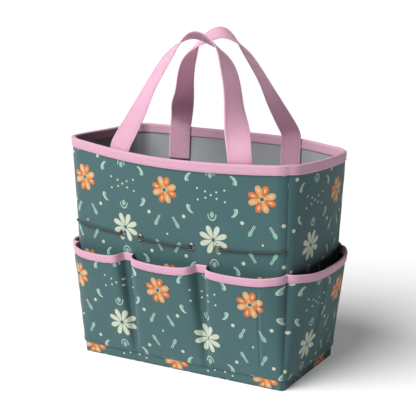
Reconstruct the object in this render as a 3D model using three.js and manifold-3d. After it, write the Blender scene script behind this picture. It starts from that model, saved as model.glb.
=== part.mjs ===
// A standing garden tool bag of sewn cloth: four stiffened walls, a ring of outside pockets,
// a tape binding over the rim, an elastic tool cord through four eyelets, and two strap handles.
// Millimetres, +Z up, +X along the bag's length, the front wall at -Y, origin under the base.

import * as THREE from 'three';
import { mergeVertices } from 'three/addons/utils/BufferGeometryUtils.js';
import Module from 'manifold-3d';

const wasm = await Module();
wasm.setup();

// Outer cloth of the body
const BAG_HEIGHT = 355;
const BASE_LENGTH = 368;
const BASE_DEPTH = 186;
const RIM_LENGTH = 396;
const RIM_DEPTH = 212;
const BASE_CORNER_RADIUS = 8;
const RIM_CORNER_RADIUS = 24;
const LONG_WALL_BULGE = 28;
const SHORT_WALL_BULGE = 16;
const LONG_RIM_DIP = 4;
const SHORT_RIM_DIP = 3;
const BACK_CORNER_SAG = 9;
const BACK_CORNER_SAG_REACH = 75;
const FRONT_CORNER_LIFT = 8;
const FRONT_CORNER_LIFT_REACH = 130;

// Layers of the wall, from the outer face inwards
const GAP = 0.3;
const CLOTH = 1.2;
const STIFFENER = 1.6;
const LINING = 1.0;
const TAPE = 1.0;
const STIFFENER_FACE = -(CLOTH + GAP);
const LINING_FACE = STIFFENER_FACE - STIFFENER - GAP;
const INNER_FACE = LINING_FACE - LINING;
const BASE_BOARD = 2.2;

// Rim binding and pockets
const RIM_BINDING_HEIGHT = 15;
const POCKET_HEM = 17;
const POCKET_TOP = 189;
const POCKET_TOP_SAG = 6;
const POCKET_CLOTH = 1.2;
const POCKET_BINDING_HEIGHT = 12.5;
const POCKET_BINDING_GAP = 0.7;
const POCKET_SEWN_STANDOFF = 0.7;
const POCKET_EDGE_STANDOFF = 2.2;
const POCKET_CREST_POWER = 4;
const POCKET_FLARE_POWER = 0.7;
const POCKETS = {
  front: { dividers: [-1, -0.42, 0.29, 1], depth: 19 },
  right: { dividers: [-1, 1], depth: 20 },
  back: { dividers: [-1, -0.33, 0.33, 1], depth: 19 },
  left: { dividers: [-1, 1], depth: 20 },
};

// Elastic tool cord and its eyelets on the front wall, as (x, height)
const EYELETS = { eyelet_1: [-89, 220], eyelet_2: [-56, 217], eyelet_3: [37, 215], eyelet_4: [82, 218] };
const EYELET_RADIUS = 6.4;
const EYELET_CROWN_RADIUS = 4.8;
const EYELET_LIP_DROP = 0.4;
const EYELET_BORE_RADIUS = 3.2;
const EYELET_BARREL_RADIUS = 4.0;
const EYELET_FLANGE = 1.4;
const EYELET_WASHER = 0.9;
const CORD_RADIUS = 1.5;
const CORD_END_HEIGHTS = [226, 223];
const CORD_END_T = 0.985;
const CORD_SPAN_OUT = 2.6;
const CORD_SAG = 2;

// Strap handles
const STRAP_WIDTH = 38;
const STRAP_THICKNESS = 2.4;
const STRAP_SPACING = 210;
const STRAP_SHIFT = 15;
const STRAP_END_BOTTOM = 297;
const STRAP_FACE = INNER_FACE - GAP - TAPE - GAP;
const HINGE_HEIGHT = 359;
const HINGE_GAP = 1.8;
const HANDLE_LEAN = THREE.MathUtils.degToRad(29);
const HANDLE_TOP_YAW = THREE.MathUtils.degToRad(20);
const HANDLE_YAW_RISE = 80;

// The strap turns through a quarter turn from each end of its loop to the top. These are the shares
// of that turn made over the low part of the climb, evenly all the way, and over its last part.
const LOW_TWIST = { share: 0.42, until: 0.45 };
const EVEN_TWIST = 0.23;
const TOP_TWIST = { share: 0.35, from: 0.65 };
// Middle line of the loop from its left end to its right one, as (x, rise above the hinge)
const HANDLE_OUTLINE = [
  [-90, 0], [-90, 5], [-86, 20], [-75, 53], [-60, 105], [-30, 170], [-10, 191], [12, 187],
  [40, 170], [68, 127], [89, 80], [104, 44], [116, 20], [120, 5], [120, 0],
];

const TEAL = 0x50737a;
const PINK = 0xf0b6d6;
const GREY = 0x9aa3a3;
const BOARD = 0xd8d4c8;
const METAL = 0x6e6f70;
const BLACK = 0x1d1d1f;

const bag = new THREE.Group();

// ---- helpers ----

function addPiece(name, geometry, color, roughness = 0.9, metalness = 0) {
  const material = new THREE.MeshStandardMaterial({ color, roughness, metalness });
  const mesh = new THREE.Mesh(geometry, material);
  mesh.name = name;
  bag.add(mesh);
}

// Merges a geometry's shared corners and turns its faces outwards.
function closed(geometry) {
  geometry.deleteAttribute('normal');
  geometry.deleteAttribute('uv');
  const merged = mergeVertices(geometry, 1e-4);
  const position = merged.getAttribute('position');
  const index = merged.getIndex();
  const kept = [];
  const corners = [new THREE.Vector3(), new THREE.Vector3(), new THREE.Vector3()];
  let volume = 0;
  for (let i = 0; i < index.count; i += 3) {
    const triangle = [index.getX(i), index.getX(i + 1), index.getX(i + 2)];
    if (new Set(triangle).size < 3) continue;
    triangle.forEach((vertex, k) => corners[k].fromBufferAttribute(position, vertex));
    volume += corners[0].dot(corners[1].clone().cross(corners[2]));
    kept.push(triangle);
  }
  const turned = volume < 0 ? kept.map(([a, b, c]) => [a, c, b]) : kept;
  merged.setIndex(turned.flat());
  merged.computeVertexNormals();
  return merged;
}

function toSolid(geometry) {
  const vertProperties = Float32Array.from(geometry.getAttribute('position').array);
  const triVerts = Uint32Array.from(geometry.getIndex().array);
  return new wasm.Manifold(new wasm.Mesh({ numProp: 3, vertProperties, triVerts }));
}

function fromSolid(solid) {
  const mesh = solid.getMesh();
  const geometry = new THREE.BufferGeometry();
  geometry.setAttribute('position', new THREE.BufferAttribute(Float32Array.from(mesh.vertProperties), 3));
  geometry.setIndex(Array.from(mesh.triVerts));
  geometry.computeVertexNormals();
  return geometry;
}

// Moves every vertex of a geometry through place(x, y, z) -> Vector3.
function reshape(geometry, place) {
  const position = geometry.getAttribute('position');
  for (let i = 0; i < position.count; i += 1) {
    const moved = place(position.getX(i), position.getY(i), position.getZ(i));
    position.setXYZ(i, moved.x, moved.y, moved.z);
  }
  return closed(geometry);
}

// Cuts the quads of a box's back face along the other diagonal, so that they match its front face.
function matchDiagonals(box) {
  const { start, count } = box.groups[5];
  const index = box.getIndex();
  for (let i = start; i < start + count; i += 6) {
    const [first, second, fourth, third] = [0, 1, 2, 4].map((k) => index.getX(i + k));
    [first, second, third, first, third, fourth].forEach((vertex, k) => index.setX(i + k, vertex));
  }
}

// A sheet of cloth: place(u, v, w) with u along, v up and w through it, each from 0 to 1.
function sheet(segmentsAlong, segmentsUp, place) {
  const box = new THREE.BoxGeometry(1, 1, 1, segmentsAlong, segmentsUp, 1);
  matchDiagonals(box);
  return reshape(box, (x, y, z) => place(x + 0.5, y + 0.5, z + 0.5));
}

// ---- the wall's shape ----

const lerp = THREE.MathUtils.lerp;
const SIDES = ['front', 'right', 'back', 'left'];
const WALL_STATIONS = 20;
const EVEN_STATION = 0.5;
const CORNER_STATION = 0.8;
const QUARTER_TURNS = { front: 0, right: 1, back: 2, left: 3 };

function isLong(side) {
  return side === 'front' || side === 'back';
}

function cornerRadius(z) {
  return lerp(BASE_CORNER_RADIUS, RIM_CORNER_RADIUS, z / BAG_HEIGHT);
}

// Half lengths of one wall at height z: its own and its neighbours'.
function halfSizes(side, z) {
  const h = z / BAG_HEIGHT;
  const halfLength = lerp(BASE_LENGTH, RIM_LENGTH, h) / 2;
  const halfDepth = lerp(BASE_DEPTH, RIM_DEPTH, h) / 2;
  return isLong(side) ? [halfLength, halfDepth] : [halfDepth, halfLength];
}

// Length of cloth from the middle of a wall to its corner seam.
function seamReach(side, z) {
  const radius = cornerRadius(z);
  return halfSizes(side, z)[0] - radius + radius * Math.PI / 4;
}

// A point of a wall: t runs from -1 to 1 between its corner seams, z is the height,
// and out is the distance outside the cloth's outer face.
function wallPoint(side, t, z, out) {
  const radius = cornerRadius(z);
  const [own, across] = halfSizes(side, z);
  const straight = own - radius;
  const run = Math.abs(t) * seamReach(side, z);
  const turn = Math.max(0, run - straight) / radius;
  const bulge = (isLong(side) ? LONG_WALL_BULGE : SHORT_WALL_BULGE) * (z / BAG_HEIGHT) * (1 - t * t);
  const along = Math.sign(t) * (Math.min(run, straight) + (radius + out) * Math.sin(turn));
  const away = across - radius + (radius + out) * Math.cos(turn) + bulge;
  const point = new THREE.Vector3(along, -away, z);
  return point.applyAxisAngle(new THREE.Vector3(0, 0, 1), QUARTER_TURNS[side] * Math.PI / 2);
}

// Height of the rim, which dips between the corners, sags at the back right corner
// and stands higher at the front left one.
function rimHeight(side, t) {
  const dip = isLong(side) ? LONG_RIM_DIP : SHORT_RIM_DIP;
  const point = wallPoint(side, t, BAG_HEIGHT, 0);
  const fromBack = Math.hypot(point.x - RIM_LENGTH / 2, point.y - RIM_DEPTH / 2);
  const fromFront = Math.hypot(point.x + RIM_LENGTH / 2, point.y + RIM_DEPTH / 2);
  const sag = BACK_CORNER_SAG * Math.exp(-((fromBack / BACK_CORNER_SAG_REACH) ** 2));
  const lift = FRONT_CORNER_LIFT * Math.exp(-((fromFront / FRONT_CORNER_LIFT_REACH) ** 2));
  return BAG_HEIGHT - dip * (1 - t * t) - sag + lift;
}

// Even stations from -1 to 1 become values of t: those past the corner station fall on the round
// corner, whose size changes with height, and the middle half stays as it is.
function stationToT(side, station, z) {
  const reach = seamReach(side, z);
  const corner = 1 - cornerRadius(z) * Math.PI / 4 / reach;
  const size = Math.abs(station);
  const seamLimit = 1 - GAP / 2 / reach;
  if (size <= EVEN_STATION) return station;
  if (size <= CORNER_STATION) {
    const share = (size - EVEN_STATION) / (CORNER_STATION - EVEN_STATION);
    return Math.sign(station) * lerp(EVEN_STATION, corner, share);
  }
  const t = lerp(corner, 1, (size - CORNER_STATION) / (1 - CORNER_STATION));
  return Math.sign(station) * Math.min(t, seamLimit);
}

function wallLayer(side, face, thickness, bottom) {
  return sheet(WALL_STATIONS, 4, (u, v, w) => {
    const station = 2 * u - 1;
    const top = rimHeight(side, stationToT(side, station, BAG_HEIGHT)) - TAPE - GAP;
    const z = lerp(bottom, top, v);
    return wallPoint(side, stationToT(side, station, z), z, face - thickness * (1 - w));
  });
}

// ---- base ----

function basePlate(inset, bottom, thickness) {
  const halfLength = BASE_LENGTH / 2 - inset;
  const halfDepth = BASE_DEPTH / 2 - inset;
  const radius = BASE_CORNER_RADIUS - inset;
  const x = halfLength - radius;
  const y = halfDepth - radius;
  const outline = new THREE.Shape();
  outline.absarc(x, -y, radius, -Math.PI / 2, 0, false);
  outline.absarc(x, y, radius, 0, Math.PI / 2, false);
  outline.absarc(-x, y, radius, Math.PI / 2, Math.PI, false);
  outline.absarc(-x, -y, radius, Math.PI, 1.5 * Math.PI, false);
  outline.closePath();
  const settings = { depth: thickness, bevelEnabled: false, curveSegments: 2 };
  const plate = new THREE.ExtrudeGeometry(outline, settings);
  plate.translate(0, 0, bottom);
  return closed(plate);
}

const BOARD_BOTTOM = CLOTH + GAP;
const STIFFENER_BOTTOM = BOARD_BOTTOM + BASE_BOARD + GAP;
const LINING_BOTTOM = STIFFENER_BOTTOM + LINING + GAP;

addPiece('base_panel', basePlate(0, 0, CLOTH), TEAL);
addPiece('base_board', basePlate(-STIFFENER_FACE, BOARD_BOTTOM, BASE_BOARD), BOARD);
addPiece('base_lining', basePlate(-LINING_FACE, STIFFENER_BOTTOM, LINING), GREY);

// ---- eyelets ----

// Place and outward direction of an eyelet on the front wall.
function eyeletFrame([x, z]) {
  const t = x / seamReach('front', z);
  const step = 0.01;
  const along = wallPoint('front', t + step, z, 0).sub(wallPoint('front', t - step, z, 0)).normalize();
  const up = wallPoint('front', t, z + 1, 0).sub(wallPoint('front', t, z - 1, 0)).normalize();
  const outward = along.clone().cross(up).normalize();
  return { centre: wallPoint('front', t, z, 0), along, outward };
}

function alignToEyelet(geometry, frame) {
  const turn = new THREE.Quaternion().setFromUnitVectors(new THREE.Vector3(0, 1, 0), frame.outward);
  geometry.applyQuaternion(turn);
  geometry.translate(frame.centre.x, frame.centre.y, frame.centre.z);
  return geometry;
}

const WASHER_FACE = INNER_FACE - GAP;
const eyeletFrames = Object.values(EYELETS).map(eyeletFrame);

function eyelet(frame) {
  const crown = GAP + EYELET_FLANGE;
  const profile = [
    [EYELET_BORE_RADIUS, crown - EYELET_LIP_DROP],
    [EYELET_CROWN_RADIUS, crown],
    [EYELET_RADIUS, GAP],
    [EYELET_BARREL_RADIUS, GAP],
    [EYELET_BARREL_RADIUS, WASHER_FACE],
    [EYELET_RADIUS, WASHER_FACE],
    [EYELET_RADIUS, WASHER_FACE - EYELET_WASHER],
    [EYELET_BORE_RADIUS, WASHER_FACE - EYELET_WASHER],
    [EYELET_BORE_RADIUS, crown - EYELET_LIP_DROP],
  ];
  const ring = new THREE.LatheGeometry(profile.map(([r, y]) => new THREE.Vector2(r, y)), 16);
  return closed(alignToEyelet(ring, frame));
}

Object.keys(EYELETS).forEach((name, i) => {
  addPiece(name, eyelet(eyeletFrames[i]), METAL, 0.35, 0.9);
});

function withEyeletHoles(geometry) {
  let solid = toSolid(geometry);
  for (const frame of eyeletFrames) {
    const drill = new THREE.CylinderGeometry(EYELET_BARREL_RADIUS + GAP, EYELET_BARREL_RADIUS + GAP, 24, 12);
    solid = solid.subtract(toSolid(closed(alignToEyelet(drill, frame))));
  }
  return fromSolid(solid);
}

// ---- walls ----

for (const side of SIDES) {
  const layers = [
    [`${side}_panel`, 0, CLOTH, BOARD_BOTTOM, TEAL],
    [`${side}_stiffener`, STIFFENER_FACE, STIFFENER, STIFFENER_BOTTOM, BOARD],
    [`${side}_lining`, LINING_FACE, LINING, LINING_BOTTOM, GREY],
  ];
  for (const [name, face, thickness, bottom, color] of layers) {
    const layer = wallLayer(side, face, thickness, bottom);
    addPiece(name, side === 'front' ? withEyeletHoles(layer) : layer, color);
  }
}

// ---- rim binding: one tape folded over the top edge all the way round ----

function rimBinding() {
  const outer = GAP + TAPE;
  const inner = INNER_FACE - GAP - TAPE;
  const profile = [
    [outer, -RIM_BINDING_HEIGHT],
    [outer, 0],
    [inner, 0],
    [inner, -RIM_BINDING_HEIGHT],
    [inner + TAPE, -RIM_BINDING_HEIGHT],
    [inner + TAPE, -TAPE],
    [outer - TAPE, -TAPE],
    [outer - TAPE, -RIM_BINDING_HEIGHT],
    [outer, -RIM_BINDING_HEIGHT],
  ];
  const laneRadius = 100;
  const points = profile.map(([out, drop]) => new THREE.Vector2(laneRadius + out, drop));
  const turns = SIDES.length * WALL_STATIONS;
  const ring = new THREE.LatheGeometry(points, turns);
  return reshape(ring, (x, y, z) => {
    const step = Math.round(Math.atan2(x, z) / (2 * Math.PI) * turns + turns) % turns;
    const side = SIDES[Math.floor(step / WALL_STATIONS)];
    const station = 2 * (step % WALL_STATIONS) / WALL_STATIONS - 1;
    const height = rimHeight(side, stationToT(side, station, BAG_HEIGHT)) + y;
    return wallPoint(side, stationToT(side, station, height), height, Math.hypot(x, z) - laneRadius);
  });
}

addPiece('rim_binding', rimBinding(), PINK);

// ---- pockets: a band of cloth on each wall, sewn down at its dividers, corners and hem ----

// How far a pocket stands open at t, from 0 at a seam to 1 in the middle of a pocket.
function pocketFullness(side, t) {
  const { dividers } = POCKETS[side];
  const last = dividers.findIndex((edge) => t <= edge);
  const right = Math.max(1, last === -1 ? dividers.length - 1 : last);
  const middle = (dividers[right - 1] + dividers[right]) / 2;
  const half = (dividers[right] - dividers[right - 1]) / 2;
  return 1 - Math.min(1, Math.abs((t - middle) / half)) ** POCKET_CREST_POWER;
}

function pocketTop(side, t) {
  return POCKET_TOP - POCKET_TOP_SAG * pocketFullness(side, t);
}

// Distance of the pocket cloth's inner face from the wall.
function pocketStandoff(side, t, z) {
  const rise = THREE.MathUtils.clamp((z - POCKET_HEM) / (POCKET_TOP - POCKET_HEM), 0, 1);
  const sewn = lerp(POCKET_SEWN_STANDOFF, POCKET_EDGE_STANDOFF, rise);
  return sewn + POCKETS[side].depth * pocketFullness(side, t) * rise ** POCKET_FLARE_POWER;
}

// Stations across a wall, with one on every divider and two steps on each round corner.
function pocketStations(side) {
  const edges = [-CORNER_STATION, ...POCKETS[side].dividers.slice(1, -1), CORNER_STATION];
  const onCorner = (CORNER_STATION + 1) / 2;
  const steps = isLong(side) ? 7 : 12;
  const stations = [-1, -onCorner];
  for (let pocket = 0; pocket < edges.length - 1; pocket += 1) {
    for (let step = 0; step < steps; step += 1) {
      stations.push(lerp(edges[pocket], edges[pocket + 1], step / steps));
    }
  }
  return [...stations, CORNER_STATION, onCorner, 1];
}

function stationAt(stations, fraction) {
  return stations[Math.round(fraction * (stations.length - 1))];
}

function pocketPanel(side) {
  const stations = pocketStations(side);
  return sheet(stations.length - 1, 4, (u, v, w) => {
    const station = stationAt(stations, u);
    const edge = pocketTop(side, stationToT(side, station, POCKET_TOP)) - TAPE - POCKET_BINDING_GAP;
    const z = lerp(POCKET_HEM, edge, v);
    const t = stationToT(side, station, z);
    return wallPoint(side, t, z, pocketStandoff(side, t, z) + POCKET_CLOTH * w);
  });
}

function pocketBinding(side) {
  const stations = pocketStations(side);
  const outer = POCKET_CLOTH + POCKET_BINDING_GAP + TAPE;
  const inner = -(POCKET_BINDING_GAP + TAPE);
  const section = new THREE.Shape([
    new THREE.Vector2(inner, -POCKET_BINDING_HEIGHT),
    new THREE.Vector2(inner + TAPE, -POCKET_BINDING_HEIGHT),
    new THREE.Vector2(inner + TAPE, -TAPE),
    new THREE.Vector2(outer - TAPE, -TAPE),
    new THREE.Vector2(outer - TAPE, -POCKET_BINDING_HEIGHT),
    new THREE.Vector2(outer, -POCKET_BINDING_HEIGHT),
    new THREE.Vector2(outer, 0),
    new THREE.Vector2(inner, 0),
  ]);
  const steps = stations.length - 1;
  const strip = new THREE.ExtrudeGeometry(section, { depth: 1, steps, bevelEnabled: false });
  return reshape(strip, (x, y, z) => {
    const station = stationAt(stations, z);
    const height = pocketTop(side, stationToT(side, station, POCKET_TOP)) + y;
    const t = stationToT(side, station, height);
    return wallPoint(side, t, height, pocketStandoff(side, t, height) + x);
  });
}

for (const side of SIDES) {
  addPiece(`${side}_pocket_panel`, pocketPanel(side), TEAL);
  addPiece(`${side}_pocket_binding`, pocketBinding(side), PINK);
}

// ---- elastic cord: from corner seam to corner seam, behind the wall between paired eyelets ----

// A curve whose steps follow its own points, so that its short bends get as many as its long spans.
class CordCurve extends THREE.CatmullRomCurve3 {
  getPointAt(u, target) {
    return this.getPoint(u, target);
  }

  getTangentAt(u, target) {
    return this.getTangent(u, target);
  }

  getSpacedPoints(divisions) {
    return this.getPoints(divisions);
  }
}

const CORD_OUTSIDE = GAP + EYELET_FLANGE + GAP + CORD_RADIUS;
const CORD_INSIDE = WASHER_FACE - EYELET_WASHER - GAP - CORD_RADIUS;

// The cord's turn through an eyelet, left to right, as (distance along, distance out).
const TURN_INWARDS = [
  [-7, CORD_OUTSIDE],
  [-2.6, CORD_OUTSIDE - 0.2],
  [-0.5, 1.5],
  [0, -2],
  [0.5, -5.2],
  [2.6, CORD_INSIDE + 0.1],
  [7, CORD_INSIDE],
];

function turnThrough(frame, inwards) {
  const turn = inwards ? TURN_INWARDS : TURN_INWARDS.map(([along, out]) => [-along, out]).reverse();
  return turn.map(([along, out]) => frame.centre.clone()
    .addScaledVector(frame.along, along)
    .addScaledVector(frame.outward, out));
}

// Points of a free span between two places (t, height), laid on the wall.
function span([t1, z1], [t2, z2], out, sag) {
  return [0.14, 0.38, 0.62, 0.86].map((f) => {
    const z = lerp(z1, z2, f) - sag * 4 * f * (1 - f);
    return wallPoint('front', lerp(t1, t2, f), z, out);
  });
}

function elasticCord() {
  const places = Object.values(EYELETS).map(([x, z]) => [x / seamReach('front', z), z]);
  const [first, second, third, fourth] = places;
  const leftEnd = [-CORD_END_T, CORD_END_HEIGHTS[0]];
  const rightEnd = [CORD_END_T, CORD_END_HEIGHTS[1]];
  const points = [
    wallPoint('front', ...leftEnd, CORD_SPAN_OUT),
    ...span(leftEnd, first, CORD_SPAN_OUT, CORD_SAG),
    ...turnThrough(eyeletFrames[0], true),
    ...turnThrough(eyeletFrames[1], false),
    ...span(second, third, CORD_SPAN_OUT, CORD_SAG),
    ...turnThrough(eyeletFrames[2], true),
    ...turnThrough(eyeletFrames[3], false),
    ...span(fourth, rightEnd, CORD_SPAN_OUT, CORD_SAG),
    wallPoint('front', ...rightEnd, CORD_SPAN_OUT),
  ];
  const section = new THREE.Shape();
  section.absarc(0, 0, CORD_RADIUS, 0, 2 * Math.PI, false);
  const path = new CordCurve(points, false, 'centripetal');
  const steps = 2 * (points.length - 1);
  return closed(new THREE.ExtrudeGeometry(section, { extrudePath: path, steps, curveSegments: 4 }));
}

addPiece('elastic_cord', elasticCord(), BLACK, 0.8);

// ---- strap handles ----

// The sewn end of a strap, flat on the lining and standing up to the fold above the rim.
function strapEnd(side, middle) {
  return sheet(4, 3, (u, v, w) => {
    const along = middle + (u - 0.5) * STRAP_WIDTH;
    const z = lerp(STRAP_END_BOTTOM, HINGE_HEIGHT - HINGE_GAP, v);
    return wallPoint(side, along / seamReach(side, z), z, STRAP_FACE - STRAP_THICKNESS * (1 - w));
  });
}

function smoothStep(value) {
  return THREE.MathUtils.smoothstep(value, 0, 1);
}

// How far the strap has turned out of the loop's plane, from 0 at its end to 1 at the top.
function strapTwist(u) {
  const climb = 1 - Math.abs(2 * u - 1);
  const low = LOW_TWIST.share * smoothStep(climb / LOW_TWIST.until);
  const top = TOP_TWIST.share * smoothStep((climb - TOP_TWIST.from) / (1 - TOP_TWIST.from));
  return low + EVEN_TWIST * climb + top;
}

// The free loop of a handle: flat against the wall at its ends, its outer face upwards at the top.
function strapLoop() {
  const middleLine = HANDLE_OUTLINE.map(([x, rise]) => new THREE.Vector3(x, 0, rise));
  const outline = new THREE.CatmullRomCurve3(middleLine, false, 'centripetal');
  const hingeT = STRAP_SPACING / 2 / seamReach('front', HINGE_HEIGHT);
  const hinge = wallPoint('front', hingeT, HINGE_HEIGHT, STRAP_FACE - STRAP_THICKNESS / 2);
  const forwards = new THREE.Vector3(0, -1, 0);
  const topRise = Math.max(...HANDLE_OUTLINE.map(([, rise]) => rise));
  const centreAt = (u) => {
    const point = outline.getPointAt(THREE.MathUtils.clamp(u, 0, 1));
    const yaw = -Math.tan(HANDLE_TOP_YAW) * point.x * Math.max(0, point.z / topRise) ** 3;
    return point.addScaledVector(forwards, yaw);
  };
  const loop = sheet(44, 1, (u, v, w) => {
    const centre = centreAt(u);
    const tangent = centreAt(u + 0.004).sub(centreAt(u - 0.004)).normalize();
    const twist = Math.PI / 2 * strapTwist(u);
    const across = new THREE.Vector3(tangent.z, 0, -tangent.x).normalize()
      .multiplyScalar(Math.cos(twist))
      .addScaledVector(forwards, Math.sin(twist))
      .applyAxisAngle(new THREE.Vector3(0, 0, 1), HANDLE_TOP_YAW * smoothStep(centre.z / HANDLE_YAW_RISE));
    across.addScaledVector(tangent, -across.dot(tangent)).normalize();
    const through = tangent.clone().cross(across);
    return centre
      .addScaledVector(across, (v - 0.5) * STRAP_WIDTH)
      .addScaledVector(through, (w - 0.5) * STRAP_THICKNESS);
  });
  loop.rotateX(-HANDLE_LEAN);
  loop.translate(0, hinge.y, HINGE_HEIGHT);
  return closed(loop);
}

for (const [side, name] of [['front', 'front_handle'], ['back', 'back_handle']]) {
  addPiece(`${side}_strap_end_left`, strapEnd(side, STRAP_SHIFT - STRAP_SPACING / 2), PINK);
  addPiece(`${side}_strap_end_right`, strapEnd(side, STRAP_SHIFT + STRAP_SPACING / 2), PINK);
  const loop = strapLoop();
  addPiece(name, side === 'front' ? loop : loop.rotateZ(Math.PI), PINK);
}

export default bag;
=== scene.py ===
"""The looks of a garden tool bag: printed canvas walls and pockets, bound edges, elastic cord and straps.

Shapes are worked out in millimetres, in the frame's own axes, and become metres as meshes are made.
Every sheet of cloth is a closed solid: a loop of points around its thickness, swept along its length.
"""
import math

import bpy
import numpy as np
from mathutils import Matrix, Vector


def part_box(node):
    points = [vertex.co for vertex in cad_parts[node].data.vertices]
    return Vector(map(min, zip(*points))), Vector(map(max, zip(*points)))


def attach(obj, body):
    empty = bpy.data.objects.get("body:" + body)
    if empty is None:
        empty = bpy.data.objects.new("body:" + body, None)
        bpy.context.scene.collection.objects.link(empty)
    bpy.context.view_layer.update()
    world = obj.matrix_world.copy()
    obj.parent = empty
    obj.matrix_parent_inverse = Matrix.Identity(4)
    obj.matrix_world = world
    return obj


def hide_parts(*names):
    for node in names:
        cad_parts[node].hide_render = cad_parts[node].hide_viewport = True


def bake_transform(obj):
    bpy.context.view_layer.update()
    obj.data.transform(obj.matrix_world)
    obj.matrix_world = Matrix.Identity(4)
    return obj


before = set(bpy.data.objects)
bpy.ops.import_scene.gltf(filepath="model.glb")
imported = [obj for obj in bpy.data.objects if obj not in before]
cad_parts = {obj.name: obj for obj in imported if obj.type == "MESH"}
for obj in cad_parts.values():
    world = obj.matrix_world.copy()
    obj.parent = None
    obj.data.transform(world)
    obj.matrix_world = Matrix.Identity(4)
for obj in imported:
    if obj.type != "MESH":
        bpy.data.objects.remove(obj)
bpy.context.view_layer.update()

MM = 0.001

# Walls
BASE_LENGTH, BASE_DEPTH = (1000 * size for size in (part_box("base_panel")[1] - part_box("base_panel")[0])[:2])
BAG_HEIGHT = 355
RIM_LENGTH = 396
RIM_DEPTH = 212
BASE_CORNER_RADIUS = 8
RIM_CORNER_RADIUS = 24
LONG_WALL_BULGE = 28
SHORT_WALL_BULGE = 16
LONG_RIM_DIP = 4
SHORT_RIM_DIP = 3
BACK_CORNER_SAG = 9
BACK_CORNER_SAG_REACH = 75
FRONT_CORNER_LIFT = 8
FRONT_CORNER_LIFT_REACH = 130

# Layers, as distances outside the outer face of the cloth
GAP = 0.3
CLOTH = 1.2
LINING_FACE = -3.4
LINING = 1.0
INNER_FACE = LINING_FACE - LINING
TAPE = 1.0
PANEL_BOTTOM = 1.4
LINING_BOTTOM = 5.3

# Bindings and pockets
RIM_BINDING_HEIGHT = 15
POCKET_HEM = 17
POCKET_TOP = 189
POCKET_TOP_SAG = 6
POCKET_CLOTH = 1.2
POCKET_BINDING_HEIGHT = 12.5
POCKET_BINDING_GAP = 0.7
POCKET_SEWN_STANDOFF = 0.7
POCKET_EDGE_STANDOFF = 2.2
POCKET_CREST_POWER = 5
POCKET_SAG_POWER = 2.5
POCKET_FLARE_POWER = 0.7
PLEAT_POWER = 14
PLEAT_HALF_WIDTHS = (3, 9)  # at the hem and at the pocket's edge
POCKETS = {
    "front": {"dividers": (-1, -0.42, 0.29, 1), "depth": 19},
    "right": {"dividers": (-1, 1), "depth": 20},
    "back": {"dividers": (-1, -0.33, 0.33, 1), "depth": 19},
    "left": {"dividers": (-1, 1), "depth": 20},
}

# Elastic cord and its eyelets, as (x, height) on the front wall
EYELETS = {"eyelet_1": (-89, 220), "eyelet_2": (-56, 217), "eyelet_3": (37, 215), "eyelet_4": (82, 218)}
CORD_RADIUS = 1.35
CORD_END_HEIGHTS = (226, 223)
CORD_REACH = 0.985  # of the way from the wall's middle to its corner seam
CORD_SPAN_OUT = 2.6
CORD_SAG = 2

# Strap handles
STRAP_WIDTH = 38
STRAP_THICKNESS = 2.4
STRAP_SPACING = 210
STRAP_SHIFT = 15
STRAP_END_BOTTOM = 297
STRAP_MIDDLE = INNER_FACE - GAP - TAPE - GAP - STRAP_THICKNESS / 2
HINGE_HEIGHT = 359
HANDLE_LEAN = math.radians(29)
HANDLE_TOP_YAW = math.radians(20)
HANDLE_YAW_RISE = 80
# Middle line of the front handle's loop, as (x, rise above its hinge)
HANDLE_OUTLINE = (
    (-90, 0), (-75, 53), (-60, 105), (-30, 170), (-10, 191), (12, 187), (40, 170), (68, 127), (89, 80),
    (104, 44), (120, 0),
)
HANDLE_TOP_RISE = 191
LOW_TWIST = {"share": 0.42, "until": 0.45}
EVEN_TWIST = 0.23
TOP_TWIST = {"share": 0.35, "from": 0.65}

SIDES = ("front", "right", "back", "left")
QUARTER_TURNS = {side: turns for turns, side in enumerate(SIDES)}


# ---- small helpers ----

def lerp(a, b, t):
    return a + (b - a) * t


def smooth(value):
    value = np.clip(value, 0, 1)
    return value * value * (3 - 2 * value)


def ridge(distance, width):
    return np.exp(-(distance / width) ** 2)


def unit(vectors):
    return vectors / np.linalg.norm(vectors, axis=-1, keepdims=True)


# ---- the wall's shape ----

def is_long(side):
    return side in ("front", "back")


def corner_radius(z):
    return lerp(BASE_CORNER_RADIUS, RIM_CORNER_RADIUS, z / BAG_HEIGHT)


def half_sizes(side, z):
    """Half lengths of one wall at height z: its own and its neighbours'."""
    half_length = lerp(BASE_LENGTH, RIM_LENGTH, z / BAG_HEIGHT) / 2
    half_depth = lerp(BASE_DEPTH, RIM_DEPTH, z / BAG_HEIGHT) / 2
    return (half_length, half_depth) if is_long(side) else (half_depth, half_length)


def seam_reach(side, z):
    """Length of cloth from the middle of a wall to its corner seam."""
    radius = corner_radius(z)
    return half_sizes(side, z)[0] - radius + radius * math.pi / 4


def turned(points, quarter_turns):
    x, y, z = points[..., 0], points[..., 1], points[..., 2]
    for _ in range(quarter_turns):
        x, y = -y, x
    return np.stack([x, y, z], -1)


def wall_point(side, t, z, out):
    """t runs from -1 to 1 between the wall's corner seams, and out is the distance outside its outer face."""
    t, z, out = np.broadcast_arrays(np.asarray(t, float), np.asarray(z, float), np.asarray(out, float))
    radius = corner_radius(z)
    own, across = half_sizes(side, z)
    straight = own - radius
    run = np.abs(t) * seam_reach(side, z)
    turn = np.maximum(0, run - straight) / radius
    bulge = (LONG_WALL_BULGE if is_long(side) else SHORT_WALL_BULGE) * (z / BAG_HEIGHT) * (1 - t * t)
    along = np.sign(t) * (np.minimum(run, straight) + (radius + out) * np.sin(turn))
    away = across - radius + (radius + out) * np.cos(turn) + bulge
    return turned(np.stack([along, -away, z], -1), QUARTER_TURNS[side])


def outward(side, t, z):
    """The wall's outward direction."""
    return unit(wall_point(side, t, z, 1) - wall_point(side, t, z, 0))


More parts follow.
